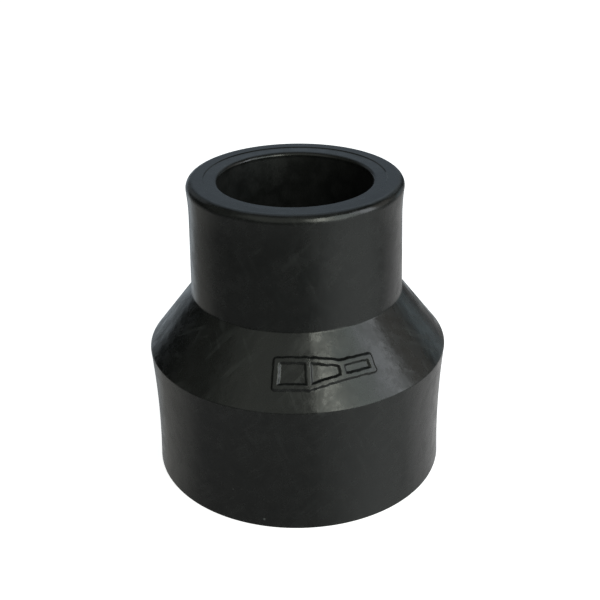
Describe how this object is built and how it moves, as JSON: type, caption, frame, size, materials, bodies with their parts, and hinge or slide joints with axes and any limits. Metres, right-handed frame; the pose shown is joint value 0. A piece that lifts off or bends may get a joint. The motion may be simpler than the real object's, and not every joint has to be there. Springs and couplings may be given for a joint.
{
  "type": "pipe reducer",
  "caption": "Socket-fusion pipe reducer in black polyethylene: a wide and a narrow welding socket on one axis, joined by a cone.",
  "frame": {"origin": "centre of the large socket's end face, which the part stands on", "axes": "+Z along the pipe axis, from the large socket to the small one; the raised mark is on the cone towards -Y"},
  "size_m": [0.0484, 0.0484, 0.0491],
  "materials": {
    "black_polyethylene": "satin, as moulded"
  },
  "bodies": {
    "root": {"large_socket": "black_polyethylene", "reducing_cone": "black_polyethylene", "small_socket": "black_polyethylene", "raised_mark": "black_polyethylene"}
  },
  "joints": []
}
